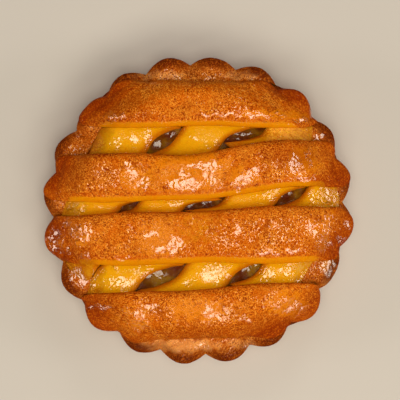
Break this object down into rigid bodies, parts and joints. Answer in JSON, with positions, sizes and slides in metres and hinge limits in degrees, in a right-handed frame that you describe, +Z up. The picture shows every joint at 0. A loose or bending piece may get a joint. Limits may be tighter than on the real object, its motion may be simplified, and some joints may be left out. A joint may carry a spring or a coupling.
{
  "type": "apple pie",
  "caption": "Small round apple pie with a fluted crust shell, apple filling and a glazed lattice of dough strips pressed onto the rim.",
  "frame": {"origin": "middle of the flat base, on the surface the pie stands on", "axes": "+Z up, +X along the top strips to the right, +Y towards the back top strip"},
  "size_m": [0.0986, 0.0979, 0.0274],
  "materials": {
    "crust": "baked, grainy",
    "apple_filling": "wet",
    "pale_glazed_dough": "egg-glazed, glossy",
    "browned_glazed_dough": "browned, grainy, partly glazed"
  },
  "bodies": {
    "root": {"crust_shell": "crust", "apple_filling": "apple_filling", "lower_strip_1": "pale_glazed_dough", "lower_strip_2": "pale_glazed_dough", "lower_strip_3": "pale_glazed_dough", "lower_strip_4": "pale_glazed_dough", "top_strip_1": "browned_glazed_dough", "top_strip_2": "browned_glazed_dough", "top_strip_3": "browned_glazed_dough", "top_strip_4": "browned_glazed_dough"}
  },
  "joints": []
}
